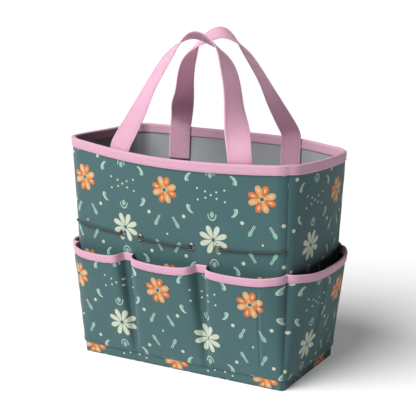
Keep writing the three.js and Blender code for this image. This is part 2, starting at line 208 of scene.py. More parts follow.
def rim_height(side, t):
    dip = LONG_RIM_DIP if is_long(side) else SHORT_RIM_DIP
    point = wall_point(side, t, BAG_HEIGHT, 0)
    from_back = np.hypot(point[..., 0] - RIM_LENGTH / 2, point[..., 1] - RIM_DEPTH / 2)
    from_front = np.hypot(point[..., 0] + RIM_LENGTH / 2, point[..., 1] + RIM_DEPTH / 2)
    sag = BACK_CORNER_SAG * ridge(from_back, BACK_CORNER_SAG_REACH)
    lift = FRONT_CORNER_LIFT * ridge(from_front, FRONT_CORNER_LIFT_REACH)
    return BAG_HEIGHT - dip * (1 - t * t) - sag + lift


STATION_STEP = 4.5
CORNER_STATIONS = (np.arange(15) / 14) ** 1.6
CORNER_SHARES = {True: 0.16, False: 0.34}  # of a long wall and of a short wall
CLOSE_OFFSETS = (0, 1, 2, 3.2, 4.6, 6, 7.4, 8.6, 9.6, 10.6, 11.8, 13.2, 15, 17.5, 21)
LEAST_STEP = 0.5


def stations(side, around=()):
    """Values of t across a wall, closer together at its round corners and at the places in around."""
    reach = seam_reach(side, BAG_HEIGHT / 2)
    even = np.linspace(-1, 1, int(2 * reach / STATION_STEP) + 1)
    corner = 1 - CORNER_SHARES[is_long(side)] * CORNER_STATIONS
    close = [place + sign * offset / reach
             for place in around for offset in CLOSE_OFFSETS for sign in (-1, 1)]
    every = np.unique(np.round(np.concatenate([even, corner, -corner, close]), 5))
    kept = [t for t in every if all(abs(t - c) * reach > LEAST_STEP or t == round(c, 5) for c in close)]
    return np.array([t for t in kept if -1 <= t <= 1])


RIPPLE_WAVES = 6


def ripples(seed, s, z, shortest=45, longest=140):
    """Soft waves of cloth laid flat, from 0 to 1."""
    draw = np.random.default_rng(seed)
    total = 0
    for _ in range(RIPPLE_WAVES):
        wave = draw.uniform(shortest, longest)
        heading = draw.uniform(-1.2, 1.2)
        phase = draw.uniform(0, 6.28)
        total = total + np.sin((s * math.cos(heading) + z * math.sin(heading)) * 2 * math.pi / wave + phase)
    return np.clip(0.5 + total / (RIPPLE_WAVES + 1), 0, 1)


# ---- making meshes ----

def new_object(name, points, faces, corner_uvs, material):
    """A closed mesh from points in millimetres, with its faces pointing out."""
    mesh = bpy.data.meshes.new(name)
    mesh.from_pydata((np.asarray(points) * MM).tolist(), [], faces)
    layer = mesh.uv_layers.new(name="cloth")
    layer.data.foreach_set("uv", (np.asarray(corner_uvs) * MM).astype(np.float32).ravel())
    mesh.shade_smooth()
    mesh.materials.append(material)
    turn_outwards(mesh)
    thing = bpy.data.objects.new(name, mesh)
    bpy.context.scene.collection.objects.link(thing)
    return thing


def turn_outwards(mesh):
    """Turns all faces of a closed mesh over if its volume comes out negative."""
    mesh.calc_loop_triangles()
    corners = np.array([[mesh.vertices[k].co for k in t.vertices] for t in mesh.loop_triangles])
    if np.einsum("ij,ij->", corners[:, 0], np.cross(corners[:, 1], corners[:, 2])) < 0:
        mesh.flip_normals()


def sweep(name, points, u, v, material, ring=False):
    """points is [columns, loop, 3]. A cloth's loop starts in the middle of one edge, crosses the outer face
    to the other edge, and comes back across the inner face. u and v are flat coordinates. For a ring u has
    one row more, where it meets itself."""
    columns, around = points.shape[:2]
    index = np.arange(columns * around).reshape(columns, around)
    last = columns if ring else columns - 1
    faces, uvs = [], []
    for i in range(last):
        k = (i + 1) % columns
        for j in range(around):
            m = (j + 1) % around
            faces.append((index[i, j], index[i, m], index[k, m], index[k, j]))
            uvs += [(u[i][j], v[i][j]), (u[i][m], v[i][m]), (u[i + 1][m], v[k][m]), (u[i + 1][j], v[k][j])]
    if not ring:
        half = around // 2
        for i, flip in ((0, True), (columns - 1, False)):
            caps = [(0, 1, around - 1)]
            caps += [(j, j + 1, around - j - 1, around - j) for j in range(1, half - 1)]
            caps += [(half - 1, half, half + 1)]
            for cap in caps:
                cap = cap[::-1] if flip else cap
                faces.append(tuple(index[i, j] for j in cap))
                uvs += [(u[i][j], v[i][j]) for j in cap]
    return new_object(name, points.reshape(-1, 3), [tuple(map(int, f)) for f in faces], uvs, material)


def cloth_loop(outer, inner, edge):
    """Joins an outer and an inner face, each [columns, m, 3], into loops whose edges stand out
    by edge times the cloth's thickness."""
    def rounded(end, before):
        thickness = np.linalg.norm(outer[:, end] - inner[:, end], axis=-1)[:, None]
        middle = (outer[:, end] + inner[:, end]) / 2
        return (middle + edge * unit(outer[:, end] - outer[:, before]) * thickness)[:, None]
    return np.concatenate([rounded(0, 1), outer, rounded(-1, -2), inner[:, ::-1]], 1)


def loop_coordinates(values):
    """Flat coordinates [columns, m] of a face, for the loop that cloth_loop makes from it."""
    return np.concatenate([values[:, :1], values, values[:, -1:], values[:, ::-1]], 1)


def sheet(name, outer, inner, edge, u, v, material):
    """A sheet of cloth between an outer and an inner face."""
    return sweep(name, cloth_loop(outer, inner, edge), loop_coordinates(u), loop_coordinates(v), material)


STITCH_PITCH = 3.3
STITCH_LENGTH = 2.5
STITCH_RADIUS = 0.3
STITCH_SIDES = 6
# Rings around a stitch, as (share of its length from its middle, share of its radius)
STITCH_RINGS = ((-0.42, 0.75), (0, 1), (0.42, 0.75))


def length_along(path):
    return np.concatenate([[0], np.cumsum(np.linalg.norm(np.diff(path, axis=0), axis=-1))])


def sample(run, places, rows):
    """Rows of vectors known at the lengths in run, read at places."""
    return np.stack([np.interp(places, run, rows[:, k]) for k in range(3)], -1)


def stitches(name, rows, material):
    """A row is (points [n, 3], outward directions [n, 3]). Each stitch is a small spindle along its row."""
    points, faces = [], []
    for path, normals in rows:
        run = length_along(path)
        count = max(1, int(run[-1] / STITCH_PITCH))
        middles = (np.arange(count) + 0.5) * run[-1] / count
        along = unit(sample(run, middles + 1, path) - sample(run, middles - 1, path))
        normal = unit(sample(run, middles, normals))
        across = unit(np.cross(along, normal))
        for centre, a, n, c in zip(sample(run, middles, path), along, normal, across):
            first = len(points)
            points.append(centre - a * STITCH_LENGTH / 2)
            for share, size in STITCH_RINGS:
                for k in range(STITCH_SIDES):
                    angle = 2 * math.pi * k / STITCH_SIDES
                    spoke = (c * math.cos(angle) + n * math.sin(angle)) * STITCH_RADIUS * size
                    points.append(centre + a * share * STITCH_LENGTH + spoke)
            points.append(centre + a * STITCH_LENGTH / 2)
            for k in range(STITCH_SIDES):
                m = (k + 1) % STITCH_SIDES
                faces.append((first, first + 1 + m, first + 1 + k))
                for low in (first + 1, first + 1 + STITCH_SIDES):
                    faces.append((low + k, low + m, low + STITCH_SIDES + m, low + STITCH_SIDES + k))
                low = first + 1 + 2 * STITCH_SIDES
                faces.append((low + k, low + m, len(points) - 1))
    uvs = [(points[k][0], points[k][2]) for face in faces for k in face]
    return new_object(name, points, faces, uvs, material)


def tube(name, path, radius, material, sides=12):
    """A round tube along a path, closed at both ends."""
    tangents = unit(np.gradient(path, axis=0))
    normal = np.array([0.0, 0.0, 1.0])
    points = []
    run = length_along(path)
    for centre, tangent in zip(path, tangents):
        normal = unit(normal - tangent * normal.dot(tangent))
        side = np.cross(tangent, normal)
        for k in range(sides):
            angle = 2 * math.pi * k / sides
            points.append(centre + radius * (normal * math.cos(angle) + side * math.sin(angle)))
    faces, uvs = [], []
    for i in range(len(path) - 1):
        for k in range(sides):
            m = (k + 1) % sides
            faces.append((i * sides + k, i * sides + m, (i + 1) * sides + m, (i + 1) * sides + k))
            uvs += [(run[i], k), (run[i], k + 1), (run[i + 1], k + 1), (run[i + 1], k)]
    for start in (0, (len(path) - 1) * sides):
        cap = list(range(start, start + sides))
        faces.append(tuple(cap if start else cap[::-1]))
        uvs += [(0, 0)] * sides
    return new_object(name, points, faces, uvs, material)


def curve_through(points, step=1.0):
    """A smooth centripetal curve through points, as closely spaced points."""
    points = np.asarray(points, float)
    ends = np.concatenate([[2 * points[0] - points[1]], points, [2 * points[-1] - points[-2]]])
    found = []
    for p0, p1, p2, p3 in zip(ends, ends[1:], ends[2:], ends[3:]):
        gaps = [max(1e-6, np.linalg.norm(b - a)) ** 0.5 for a, b in ((p0, p1), (p1, p2), (p2, p3))]
        knots = np.cumsum([0] + gaps)
        count = max(2, int(np.linalg.norm(p2 - p1) / step))
        for t in np.linspace(knots[1], knots[2], count, endpoint=False):
            def mix(a, b, k, m):
                return a + (b - a) * (t - knots[k]) / (knots[m] - knots[k])
            a1, a2, a3 = mix(p0, p1, 0, 1), mix(p1, p2, 1, 2), mix(p2, p3, 2, 3)
            found.append(mix(mix(a1, a2, 0, 2), mix(a2, a3, 1, 3), 1, 2))
    return np.array(found + [points[-1]])


# ---- materials ----

def linear(red, green, blue):
    """Linear colour from 8-bit display values."""
    def one(value):
        value /= 255
        return value / 12.92 if value <= 0.04045 else ((value + 0.055) / 1.055) ** 2.4
    return (one(red), one(green), one(blue), 1.0)


def dyed(*display):
    """The colour of a cloth that shows these display values in the light of the studio."""
    return tuple(STUDIO_TONE * value for value in linear(*display)[:3]) + (1.0,)


STUDIO_TONE = 0.62
TEAL = dyed(68, 109, 112)
ORANGE = dyed(240, 126, 34)
APRICOT = dyed(243, 178, 112)
CREAM = dyed(221, 230, 205)
MINT = dyed(148, 203, 190)
PINK = dyed(240, 184, 209)
GREY = dyed(176, 180, 182)


def set_inputs(node, values):
    for name, value in values.items():
        node.inputs[name].default_value = value


class Field:
    """A number that varies over a surface, with arithmetic that makes the nodes for it."""

    def __init__(self, tree, socket):
        self.tree = tree
        self.socket = socket

    def math(self, operation, *others, clamp=False):
        node = self.tree.nodes.new("ShaderNodeMath")
        node.operation = operation
        node.use_clamp = clamp
        for slot, value in zip(node.inputs, (self, *others)):
            if isinstance(value, Field):
                self.tree.links.new(value.socket, slot)
            else:
                slot.default_value = value
        return Field(self.tree, node.outputs[0])

    def __add__(self, other):
        return self.math("ADD", other)

    def __sub__(self, other):
        return self.math("SUBTRACT", other)

    def __mul__(self, other):
        return self.math("MULTIPLY", other)

    def sin(self):
        return self.math("SINE")

    def abs(self):
        return self.math("ABSOLUTE")

    def wrap(self, half):
        return self.math("WRAP", half, -half)


# A colour mix node's sockets
MIX_FACTOR = 0
MIX_UNDER = 6
MIX_OVER = 7
MIX_RESULT = 2


class Cloth:
    """A material's node tree, with its flat cloth coordinates x and y in millimetres."""

    def __init__(self, name, roughness, sheen=0.0, metallic=0.0):
        self.material = bpy.data.materials.new(name)
        self.material.use_nodes = True
        self.tree = self.material.node_tree
        self.shader = self.tree.nodes["Principled BSDF"]
        set_inputs(self.shader, {"Roughness": roughness, "Metallic": metallic})
        set_inputs(self.shader, {"Sheen Weight": sheen, "Sheen Roughness": 0.5})
        self.place = self.tree.nodes.new("ShaderNodeTexCoord")
        split = self.tree.nodes.new("ShaderNodeSeparateXYZ")
        self.tree.links.new(self.place.outputs["UV"], split.inputs[0])
        self.x = Field(self.tree, split.outputs[0]) * 1000
        self.y = Field(self.tree, split.outputs[1]) * 1000

    def noise(self, size_mm, detail):
        """Noise of about this size, from 0 to 1."""
        node = self.tree.nodes.new("ShaderNodeTexNoise")
        set_inputs(node, {"Scale": 1000 / size_mm, "Detail": detail})
        self.tree.links.new(self.place.outputs["Object"], node.inputs["Vector"])
        return Field(self.tree, node.outputs[0])

    def mix_over(self, under):
        """A colour mix whose lower colour is a fixed one or another node's."""
        node = self.tree.nodes.new("ShaderNodeMix")
        node.data_type = "RGBA"
        if isinstance(under, tuple):
            node.inputs[MIX_UNDER].default_value = under
        else:
            self.tree.links.new(under, node.inputs[MIX_UNDER])
        return node

    def paint(self, under, mask, color):
        """Colour over what is under it, where mask is 1."""
        node = self.mix_over(under)
        node.inputs[MIX_OVER].default_value = color
        self.tree.links.new(mask.socket, node.inputs[MIX_FACTOR])
        return node.outputs[MIX_RESULT]

    def shade(self, under, amount):
        """Multiplies a colour by a field."""
        node = self.mix_over(under)
        node.blend_type = "MULTIPLY"
        node.inputs[MIX_FACTOR].default_value = 1.0
        self.tree.links.new(amount.socket, node.inputs[MIX_OVER])
        return node.outputs[MIX_RESULT]

    def finish(self, color, height, depth_mm, strength, roughness=None):
        self.tree.links.new(color, self.shader.inputs["Base Color"])
        bump = self.tree.nodes.new("ShaderNodeBump")
        set_inputs(bump, {"Distance": depth_mm * MM, "Strength": strength})
        self.tree.links.new(height.socket, bump.inputs["Height"])
        self.tree.links.new(bump.outputs[0], self.shader.inputs["Normal"])
        if roughness is not None:
            self.tree.links.new(roughness.socket, self.shader.inputs["Roughness"])
        return self.material


def plain_weave(cloth, pitch):
    """Height of a plain weave whose threads are pitch apart, from -1 to 1."""
    turn = 2 * math.pi / pitch
    return (cloth.x * turn).sin() * (cloth.y * turn).sin()


PRINT_HALF_WIDTH = 79
PRINT_HALF_HEIGHT = 71
PRINT_EDGE = 0.5
PRINT_DOTS = (((79, 0), 1.7), ((70, 5), 1.6), ((57, 9), 1.6), ((31, 39), 2.9), ((0, 71), 1.7))
ORANGE_FLOWER = {"radius": 21.5, "petal_angle": 20, "petal_width": 0.23}
FLOWER_RING = 4.4
FLOWER_CENTRE = 3.3
CREAM_FLOWER = {"radius": 23.5, "petal_angle": 22.5, "petal_width": 0.185}


def cover(distance):
    """A mask that is 1 inside a shape, from the distance outside its edge in millimetres."""
    return distance.math("MULTIPLY_ADD", -1 / PRINT_EDGE, 0.5, clamp=True)


def ellipse(x, y, half_length, half_width):
    """Distance outside an ellipse, lengths along x."""
    size = (x * (1 / half_length)).math("POWER", 2) + (y * (1 / half_width)).math("POWER", 2)
    return (size.math("SQRT") - 1) * half_width


def tilted(x, y, place, degrees):
    """Coordinates from a place, turned by an angle."""
    x, y = x - place[0], y - place[1]
    c, s = math.cos(math.radians(degrees)), math.sin(math.radians(degrees))
    return x * c + y * s, y * c - x * s


def dot(x, y, place, radius):
    return cover(ellipse(x - place[0], y - place[1], radius, radius))


def flower(x, y, radius, petal_angle, petal_width):
    """Masks of an eight-petalled flower: petals, every other petal, petal marks, pale ring and centre."""
    angle = y.math("ARCTAN2", x)
    reach = (x * x + y * y).math("SQRT")
    folded = angle.wrap(math.pi / 4)
    from_petal = folded.abs() - math.radians(petal_angle)
    along = reach * from_petal.math("COSINE")
    across = reach * from_petal.sin()
    taper = along * (0.75 / radius) + 0.5
    narrowed = across.math("DIVIDE", taper)
    petals = cover(ellipse(along - 0.58 * radius, narrowed, 0.43 * radius, petal_width * radius))
    marks = cover(ellipse(along - 0.66 * radius, across, 0.15 * radius, 0.055 * radius))
    ring = cover(reach - FLOWER_RING)
    centre = cover(reach - FLOWER_CENTRE)
    return petals, folded.math("GREATER_THAN", 0), marks, ring, centre


def canvas():
    """Teal canvas printed with flowers, buds, leaves and dots, on a tile mirrored about its middle lines."""
    cloth = Cloth("printed_canvas", roughness=0.86, sheen=0.12)
    x = cloth.x.wrap(PRINT_HALF_WIDTH)
    y = cloth.y.wrap(PRINT_HALF_HEIGHT)
    fold_x, fold_y = x.abs(), y.abs()
    far_x = (cloth.x + PRINT_HALF_WIDTH).wrap(PRINT_HALF_WIDTH)
    far_y = (cloth.y + PRINT_HALF_HEIGHT).wrap(PRINT_HALF_HEIGHT)
    layers = [(dot(fold_x, fold_y, place, radius), CREAM) for place, radius in PRINT_DOTS]

    leaf_x, leaf_y = tilted(fold_x, fold_y, (43, 25), 52)
    leaf = cover(ellipse(leaf_x, leaf_y, 8, 4.4))
    bite = cover(ellipse(leaf_x - 3.5, leaf_y + 3.4, 6.5, 3.6))
    blade = leaf.math("SUBTRACT", bite, clamp=True)
    edge = blade * cover(ellipse(leaf_x - 0.7, leaf_y + 1.1, 7.6, 3.8) * -1)
    layers += [(blade, MINT), (edge, CREAM)]

    bud_x, bud_y = tilted(fold_x, fold_y, (79, 31), 90)
    bud = cover(ellipse(bud_x, bud_y, 4.6, 3.4))
    arch = cover(ellipse(bud_x, bud_y, 8.5, 6.5).abs() - 0.6) * cover(bud_x * -1 - 1)
    layers += [(bud, MINT), (arch, CREAM)]

    stem_x, stem_y = tilted(fold_x, fold_y, (17, 51), 62)
    for side in (-1.2, 1.2):
        stem = cover((stem_y + side + stem_x * 0.05).abs() - 0.55) * cover((stem_x + 3).abs() - 7.5)
        layers.append((stem, CREAM))
    layers.append((cover(ellipse(stem_x - 4, stem_y, 5.5, 3.1)), MINT))

    petals, other, marks, ring, centre = flower(x, y, **ORANGE_FLOWER)
    layers += [(petals, ORANGE), (petals * other, APRICOT), (marks, CREAM), (ring, CREAM), (centre, TEAL)]
    petals, _, _, ring, centre = flower(far_x, far_y, **CREAM_FLOWER)
    layers += [(petals, CREAM), (ring, CREAM), (centre, TEAL)]

    color = TEAL
    for mask, over in layers:
        color = cloth.paint(color, mask, over)
    slub = cloth.noise(1.6, 3)
    blotch = cloth.noise(60, 1)
    color = cloth.shade(color, slub * 0.16 + blotch * 0.1 + 0.87)
    weave = plain_weave(cloth, 1.1) * 0.35 + slub
    return cloth.finish(color, weave, 0.16, 0.5)


GLOW_SPREAD = (1.0, 0.95, 0.97)  # of red, green and blue light


def woven(name, base, pitch, sheen, variation=0.12, roughness=0.88, glow_mm=0):
    """A plain coloured woven cloth. Light spreads glow_mm inside it."""
    cloth = Cloth(name, roughness, sheen)
    set_inputs(cloth.shader, {"Subsurface Weight": 1.0 if glow_mm else 0.0})
    set_inputs(cloth.shader, {"Subsurface Scale": glow_mm * MM, "Subsurface Radius": GLOW_SPREAD})
    slub = cloth.noise(1.2, 3)
    blotch = cloth.noise(35, 1)
    color = cloth.shade(base, slub * variation + blotch * (variation * 0.6) + (1 - 0.8 * variation))
    return cloth.finish(color, plain_weave(cloth, pitch) * 0.4 + slub, 0.15, 0.5)


def ribbed(name, base, pitch, sheen):
    """A tape with fine ribs across it, and a herringbone of thread between them."""
    cloth = Cloth(name, 0.8, sheen)
    slub = cloth.noise(1.0, 3)
    blotch = cloth.noise(28, 1)
    color = cloth.shade(base, slub * 0.1 + blotch * 0.07 + 0.915)
    ribs = (cloth.x * (2 * math.pi / pitch)).sin() * 0.4
    threads = ((cloth.x + cloth.y) * (2 * math.pi / (pitch * 1.7))).sin() * 0.25
    return cloth.finish(color, ribs + threads + slub * 0.7, 0.14, 0.5)


def gunmetal():
    metal = Cloth("gunmetal", 0.34, metallic=1.0)
    grain = metal.noise(0.8, 4)
    wear = metal.noise(4, 3)
    color = metal.shade(linear(120, 118, 120), wear * 0.5 + 0.72)
    return metal.finish(color, grain, 0.04, 0.4, roughness=wear * 0.22 + 0.22)


def braid():
    cord = Cloth("elastic_braid", 0.55, sheen=0.1)
    lean = cord.y * 0.55
    strands_and_groove_shade = ((cord.x + lean) * 3.1).sin() * ((cord.x - lean) * 3.1).sin()
    grain = cord.noise(0.7, 3)
    # The strand pattern also darkens the colour in the grooves between the strands: painted shade.
    color = cord.shade(linear(52, 46, 46), strands_and_groove_shade * 0.25 + grain * 0.5 + 0.7)
    return cord.finish(color, strands_and_groove_shade, 0.25, 0.7)


def thread(name, base):
    twist = Cloth(name, 0.7, sheen=0.15)
    grain = twist.noise(0.5, 3)
    color = twist.shade(base, grain * 0.25 + 0.86)
    return twist.finish(color, grain, 0.1, 0.5)


def board():
    fibre = Cloth("board", 0.9)
    grain = fibre.noise(1.5, 4)
    mottle = fibre.noise(25, 2)
    color = fibre.shade(linear(206, 203, 194), grain * 0.16 + mottle * 0.1 + 0.85)
    return fibre.finish(color, grain, 0.2, 0.4)


CANVAS = canvas()
LINING_CLOTH = woven("grey_lining", GREY, 0.8, 0.1)
BINDING_TAPE = ribbed("pink_binding", PINK, 1.0, 0.15)
STRAP_CLOTH = woven("pink_strap", PINK, 1.0, 0.15, variation=0.09, roughness=0.82, glow_mm=8)
PINK_THREAD = thread("pink_thread", dyed(228, 164, 192))
TEAL_THREAD = thread("teal_thread", dyed(66, 96, 100))
GUNMETAL = gunmetal()
BRAID = braid()
BOARD = board()


def settle(thing, slot, *nodes, body="bag"):
    """Attaches a piece to the body it rides on, and hides the frame's pieces that it stands for. slot, the
    finish it takes, is not used.
    """
    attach(thing, body)
    if nodes:
        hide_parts(*nodes)


# ---- walls and linings ----

# Where the print lies on each piece of cloth, as the place of an orange flower's middle
PRINT_ON_WALL = {"front": (-4, 302), "right": (38, 293), "back": (20, 296), "left": (-30, 299)}
PRINT_ON_POCKET = {"front": (-18, 140), "right": (36, 135), "back": (12, 131), "left": (-40, 137)}
# First seeds of the ripples of each kind of cloth
WALL_SEED = 10
LINING_SEED = 20
POCKET_SEED = 40
WALL_RIPPLE = 0.7
LINING_RIPPLE = 0.8
WALL_PINCH = 0.75
LINING_PINCH = 0.4
PINCH_WIDTH = 1.5
WALL_ROWS = 66
EYELET_CLEAR = 7
EYELET_FADE = 14
FLAT_EDGE = 0.2  # how far a cloth's edge stands out, as a share of its thickness


def clear_of_eyelets(side, s, z):
    """1 on open cloth, falling to 0 around the front wall's eyelets."""
    if side != "front":
        return 1
    nearest = np.min([np.hypot(s - x, z - height) for x, height in EYELETS.values()], 0)
    return smooth((nearest - EYELET_CLEAR) / EYELET_FADE)


def wall_grid(side, bottom, seed):
    """Places (t, z) on a wall, the ripples there, how strong a seam's pinch is, and the length s across."""
    t = stations(side)[:, None]
    top = rim_height(side, t) - TAPE - GAP
    z = lerp(bottom, top, np.linspace(0, 1, WALL_ROWS)[None, :])
    s = t * seam_reach(side, z)
    from_seam = (1 - np.abs(t)) * seam_reach(side, z)
    # The cloth is flat along its seams, under the rim's tape and above the base
    calm = smooth(from_seam / 14) * smooth((top - z - 12) / 20) * smooth((z - bottom) / 12)
    ripple = calm * clear_of_eyelets(side, s, z) * ripples(seed, s, z)
    return t, z, ripple, ridge(from_seam, PINCH_WIDTH), s


def wall_panel(side, seed):
    """A wall's outer cloth. Its ripples rise outwards."""
    t, z, ripple, pinch, s = wall_grid(side, PANEL_BOTTOM, seed)
    outer = wall_point(side, t, z, WALL_RIPPLE * ripple - WALL_PINCH * pinch)
    inner = wall_point(side, t, z, -CLOTH)
    print_s, print_z = PRINT_ON_WALL[side]
    return sheet(f"{side}_wall", outer, inner, FLAT_EDGE, s - print_s, z - print_z, CANVAS)


def wall_lining(side, seed):
    """A wall's lining. Its ripples rise inwards."""
    t, z, ripple, pinch, s = wall_grid(side, LINING_BOTTOM, seed)
    outer = wall_point(side, t, z, LINING_FACE)
    inner = wall_point(side, t, z, INNER_FACE - LINING_RIPPLE * ripple + LINING_PINCH * pinch)
    return sheet(f"{side}_wall_lining", outer, inner, FLAT_EDGE, s, z, LINING_CLOTH)


for number, side in enumerate(SIDES):
    settle(wall_panel(side, WALL_SEED + number), "body_cloth", f"{side}_panel")
    settle(wall_lining(side, LINING_SEED + number), "lining", f"{side}_lining")


# ---- base ----

BASE_LINING_BOTTOM = 4.0
BASE_LINING_RIPPLE = 0.9
PLATE_COLUMNS = 60
PLATE_ROWS = 34
BASE_SEED = 31
BASE_LINING_SEED = 32


def plate(name, inset, bottom, thickness, material, lift, seed):
    """A flat sheet of cloth with round corners. Its top rises in ripples by up to lift."""
    half_length = BASE_LENGTH / 2 - inset
    half_depth = BASE_DEPTH / 2 - inset
    radius = BASE_CORNER_RADIUS - min(inset, BASE_CORNER_RADIUS - 2)
    edge = half_length - radius * (1 - np.cos(np.linspace(0.02, math.pi / 2, 8)))
    even = np.linspace(-half_length + radius, half_length - radius, PLATE_COLUMNS)
    x = np.sort(np.concatenate([-edge, even[1:-1], edge]))
    into_corner = np.clip(np.abs(x) - (half_length - radius), 0, radius)
    half = half_depth - radius + np.sqrt(np.maximum(radius ** 2 - into_corner ** 2, 0.01))
    across = np.linspace(-1, 1, PLATE_ROWS)[None, :]
    y = half[:, None] * across
    x = np.repeat(x[:, None], y.shape[1], 1)
    calm = smooth((1 - np.abs(across)) * 6) * smooth((half_length - np.abs(x)) / 14)
    top = np.stack([x, y, bottom + thickness + lift * calm * ripples(seed, x, y)], -1)
    below = np.stack([x, y, np.full_like(x, bottom)], -1)
    return sheet(name, top, below, FLAT_EDGE, x, y, material)


settle(plate("base_cloth", 0, 0, CLOTH, CANVAS, 0, BASE_SEED), "body_cloth", "base_panel")
base_lining = plate("base_inner_lining", -LINING_FACE, BASE_LINING_BOTTOM, LINING, LINING_CLOTH,
                    BASE_LINING_RIPPLE, BASE_LINING_SEED)
settle(base_lining, "lining", "base_lining")


# ---- pockets ----

def pocket_share(side, t, rise):
    """Place within a pocket, from -1 to 1 between its seams, and whether the nearer seam is a divider.
    The cloth lies flat on the wall along a divider, in a pleat that is wider at the pocket's edge."""
    t, rise = np.broadcast_arrays(np.asarray(t, float), np.asarray(rise, float))
    pleat = lerp(*PLEAT_HALF_WIDTHS, rise) / seam_reach(side, POCKET_TOP)
    share = np.ones_like(t)
    divided = np.zeros(t.shape, bool)
    dividers = POCKETS[side]["dividers"]
    for left, right in zip(dividers, dividers[1:]):
        low = left + pleat * (left != -1)
        high = right - pleat * (right != 1)
        place = (t - (low + high) / 2) / ((high - low) / 2)
        here = (t >= left) & (t <= right)
        share = np.where(here, np.clip(place, -1, 1), share)
        divided = np.where(here, np.where(place < 0, left != -1, right != 1), divided)
    return share, divided


def pocket_top(side, t):
    """The pocket's edge sags between its seams."""
    share, _ = pocket_share(side, t, 1)
    return POCKET_TOP - POCKET_TOP_SAG * (1 - np.abs(share) ** POCKET_SAG_POWER)


def pocket_standoff(side, t, z):
    """Distance of the pocket cloth's inner face from the wall."""
    rise = np.clip((z - POCKET_HEM) / (POCKET_TOP - POCKET_HEM), 0, 1)
    sewn = lerp(POCKET_SEWN_STANDOFF, POCKET_EDGE_STANDOFF, rise)
    share, divided = pocket_share(side, t, rise)
    full = 1 - np.abs(share) ** np.where(divided, PLEAT_POWER, POCKET_CREST_POWER)
    return sewn + POCKETS[side]["depth"] * full * rise ** POCKET_FLARE_POWER


# A pressed fold down each pocket wall, as (t, depth). A fold of negative depth stands out.
PRESSED_FOLDS = {"front": (0.815, 1.6), "right": (-0.22, -1.9), "back": (-0.8, 1.2), "left": (0.3, -1.8)}
POCKET_ROWS = 44
POCKET_RIPPLE = 1.3
POCKET_WAVES = (35, 120)
POCKET_PINCH = 0.7
PUCKER = 0.5
PUCKER_FROM_SEAM = 7
PUCKER_WIDTH = 5
PUCKER_PITCH = 5.5
FOLD_RISE = 40
FOLD_WIDTH = 1.7
HEM_ROLL = 0.7
HEM_STITCH_RISE = 4
ROUND_EDGE = 0.3


def pressed(side, t, z):
    """How far the pressed fold pushes the pocket cloth in, with a soft roll beside it."""
    place, depth = PRESSED_FOLDS[side]
    away = (t - place) * seam_reach(side, z)
    rise = smooth((z - POCKET_HEM - HEM_STITCH_RISE) / FOLD_RISE)
    return depth * rise * (ridge(away, FOLD_WIDTH) - 0.5 * ridge(away - 5, 4))


def pocket_cloth(side, seed):
    dividers = POCKETS[side]["dividers"]
    t = stations(side, around=dividers[1:-1] + PRESSED_FOLDS[side][:1])[:, None]
    edge = pocket_top(side, t) - TAPE - POCKET_BINDING_GAP
    z = lerp(POCKET_HEM, edge, np.linspace(0, 1, POCKET_ROWS)[None, :])
    reach = seam_reach(side, z)
    s = t * reach
    from_seam = np.min([np.abs(t - d) * reach for d in dividers], 0)
    calm = smooth((edge - z - 12) / 16)
    gather = 0.5 + 0.5 * np.sin(z / PUCKER_PITCH + seed)
    puckers = PUCKER * ridge(from_seam - PUCKER_FROM_SEAM, PUCKER_WIDTH) * gather
    ripple = POCKET_RIPPLE * smooth(from_seam / 12) * ripples(seed, s, z, *POCKET_WAVES)
    roll = HEM_ROLL * ridge(z - POCKET_HEM - HEM_STITCH_RISE, 3)
    fold = pressed(side, t, z) * calm
    base = pocket_standoff(side, t, z)
    pinch = POCKET_PINCH * ridge((1 - np.abs(t)) * reach, 1.4)
    outer = wall_point(side, t, z, base + POCKET_CLOTH + calm * (ripple + puckers) + roll - fold - pinch)
    inner = wall_point(side, t, z, base - np.clip(fold, 0, base * 0.7))
    print_s, print_z = PRINT_ON_POCKET[side]
    return sheet(f"{side}_pocket", outer, inner, ROUND_EDGE, s - print_s, z - print_z, CANVAS)


def u_profile(outer, inner, height):
    """A tape folded over an edge, as matching outer and inner outlines of (out, drop) points."""
    half = (outer - inner) / 2
    middle = (outer + inner) / 2
    shoulder = half * 0.8
    drops = np.linspace(height, shoulder, 9)
    arc = np.linspace(0, math.pi, 11)[1:-1]

    def outline(half_width, top):
        left = [(middle + half_width, -max(drop, top)) for drop in drops]
        over = [(middle + half_width * math.cos(a), -top - (shoulder - top) * (1 - math.sin(a) ** 0.8))
                for a in arc]
        right = [(middle - half_width, -max(drop, top)) for drop in drops[::-1]]
        return np.array(left + over + right)

    return outline(half, 0), outline(half - TAPE, TAPE)


TAPE_EDGE = 0.4


def bound_edge(name, side_columns, outlines, place, ring):
    """Sweeps a folded tape: place(side, t, drop, out) gives the points."""
    outer, inner = [np.array([place(side, t, line[:, 1], line[:, 0]) for side, t in side_columns])
                    for line in outlines]
    points = cloth_loop(outer, inner, TAPE_EDGE)
    edge = outer[:, 0]
    run = length_along(np.concatenate([edge, edge[:1]]) if ring else edge)
    girth = length_along(outlines[0])
    v = np.repeat(loop_coordinates(girth[None, :]), len(outer), 0)
    u = np.repeat(run[:, None], points.shape[1], 1)
    return sweep(name, points, u, v, BINDING_TAPE, ring=ring)


def rim_place(side, t, drop, out):
    return wall_point(side, t, rim_height(side, t) + drop, out)


RIM_COLUMNS = [(side, t) for side in SIDES for t in stations(side)[:-1]]
RIM_TAPE_OUT = GAP + TAPE + 0.25
RIM_TAPE_IN = INNER_FACE - GAP - TAPE
RIM_STITCH_DROP = 2.6 - RIM_BINDING_HEIGHT

rim_outlines = u_profile(RIM_TAPE_OUT, RIM_TAPE_IN, RIM_BINDING_HEIGHT)
rim = bound_edge("rim_tape", RIM_COLUMNS, rim_outlines, rim_place, ring=True)
settle(rim, "binding", "rim_binding")

